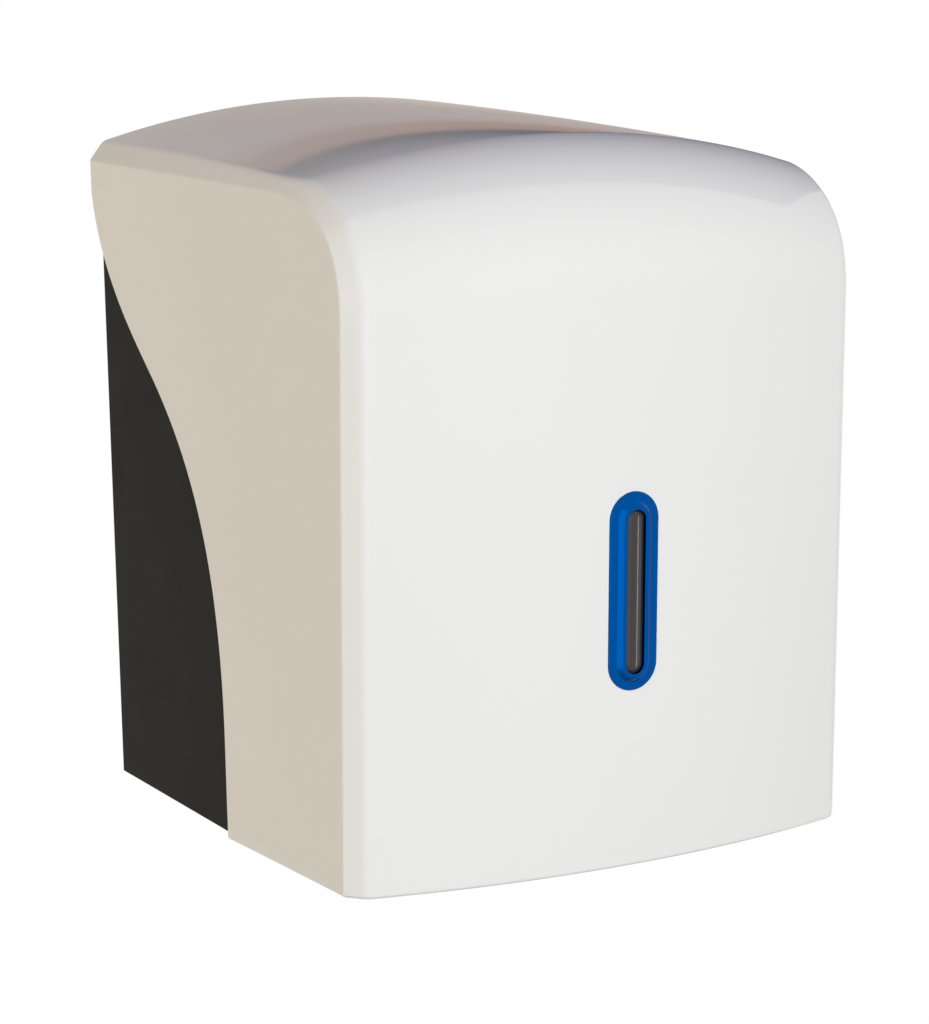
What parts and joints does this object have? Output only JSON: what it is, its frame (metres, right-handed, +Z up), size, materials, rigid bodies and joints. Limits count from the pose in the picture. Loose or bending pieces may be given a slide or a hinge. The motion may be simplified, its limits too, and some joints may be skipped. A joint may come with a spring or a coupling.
{
  "type": "centre-pull paper towel dispenser",
  "caption": "Wall-mounted centre-pull towel dispenser: domed white cover hinged at its foot over a dark casing, with a framed sight window and a swivelling toothed outlet.",
  "frame": {"origin": "middle of the four wall screw holes, on the casing's back face against the wall", "axes": "+Z up, -Y out of the wall towards the user, +X to the right as the user sees it"},
  "size_m": [0.25, 0.2595, 0.3272],
  "materials": {
    "cover_white": "smooth gloss, injection moulded",
    "casing_dark": "fine satin texture, charcoal",
    "bezel_blue": "metallised blue gloss",
    "lens_smoked": "clear smoked plastic, polished",
    "inner_plastic": "satin grey",
    "nozzle_plastic": "satin charcoal",
    "tear_steel": "bright stamped stainless steel",
    "zinc_steel": "zinc plated",
    "lock_chrome": "bright chrome",
    "buffer_rubber": "soft black rubber"
  },
  "bodies": {
    "casing": {"rear_casing": "casing_dark", "hinge_pin_left": "zinc_steel", "hinge_pin_right": "zinc_steel", "roll_tray": "inner_plastic", "tray_screws": "zinc_steel", "nozzle_ring": "inner_plastic", "ring_screws": "zinc_steel", "catch_plate": "zinc_steel", "catch_screws": "zinc_steel", "cover_buffers": "buffer_rubber"},
    "cover": {"front_cover": "cover_white", "window_bezel": "bezel_blue", "window_lens": "lens_smoked", "lens_retainer": "inner_plastic", "retainer_screws": "zinc_steel", "lock_housing": "lock_chrome", "lock_nut": "zinc_steel"},
    "lock": {"lock_barrel": "lock_chrome", "lock_cam": "zinc_steel", "cam_screw": "zinc_steel"},
    "nozzle": {"outlet_nozzle": "nozzle_plastic", "tear_ring": "tear_steel"}
  },
  "joints": [
    {"name": "cover_hinge", "type": "hinge", "parent": "casing", "child": "cover", "pos_m": [0, -0.217, -0.153], "axis": [1, 0, 0], "range_deg": [0, 95]},
    {"name": "lock_turn", "type": "hinge", "parent": "cover", "child": "lock", "pos_m": [0.12369, -0.05, 0.085], "axis": [0.9997, -0.0262, 0], "range_deg": [0, 90]},
    {"name": "nozzle_swivel", "type": "hinge", "parent": "casing", "child": "nozzle", "pos_m": [0, -0.112, -0.16], "axis": [0, 0, 1], "continuous": true}
  ]
}
